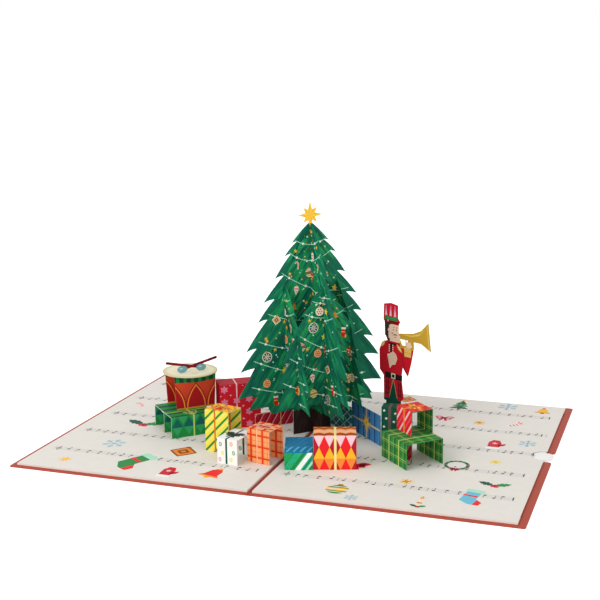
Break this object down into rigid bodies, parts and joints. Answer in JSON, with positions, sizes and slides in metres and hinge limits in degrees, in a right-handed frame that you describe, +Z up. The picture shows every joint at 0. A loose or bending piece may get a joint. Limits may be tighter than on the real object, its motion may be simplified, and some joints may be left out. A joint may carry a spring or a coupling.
{
  "type": "pop up card",
  "caption": "Open greeting card on whose two white pages a slotted paper tree, small paper gifts, a drum and a toy soldier stand up; a note card slides out of a pocket at the right",
  "frame": {"origin": "centre of the open card's underside, on the fold, at the level of the surface it lies on", "axes": "+X across the fold to the right page, +Y along the fold to the back edge, +Z up out of the pages"},
  "size_m": [0.254, 0.1778, 0.1245],
  "materials": {
    "cover_card": "red orange card, matt",
    "liner_card": "white card, matt",
    "note_card": "plain white card, matt",
    "tree_green": "printed card, matt",
    "gift_green": "printed card, matt",
    "gift_yellow": "printed card, matt",
    "gift_white": "printed card, matt",
    "gift_orange": "printed card, matt",
    "gift_blue": "printed card, matt",
    "gift_dark_green": "printed card, matt",
    "gift_red": "printed card, matt",
    "gift_dark_red": "printed card, matt"
  },
  "bodies": {
    "card": {"cover": "cover_card", "left_liner": "liner_card", "right_liner": "liner_card", "tree_star_slice": "tree_green", "tree_cross_slice": "tree_green", "tree_front_slice": "tree_green", "tree_back_slice": "tree_green", "tree_left_slice": "tree_green", "tree_right_slice": "tree_green", "gift_green_triangles": "gift_green", "gift_green_inner_wall": "gift_green", "gift_yellow": "gift_yellow", "gift_white_dots": "gift_white", "gift_orange_plaid": "gift_orange", "gift_blue_green": "gift_blue", "gift_diamonds": "gift_orange", "gift_stars": "gift_dark_green", "gift_green_plaid": "gift_green", "gift_red_stripes": "gift_red", "gift_snowflakes": "gift_red", "wall_lattice": "gift_dark_green", "wall_blue_stripes": "gift_blue", "wall_dark_red": "gift_dark_red", "drum_front_wall": "gift_red", "drum_back_wall": "gift_red", "drum_head": "liner_card", "drum_sticks": "gift_dark_red", "toy_soldier": "gift_red"},
    "note": {"note_card": "note_card"}
  },
  "joints": [
    {"name": "note_slide", "type": "slide", "parent": "card", "child": "note", "axis": [1, 0, 0], "range_m": [0, 0.1]}
  ]
}
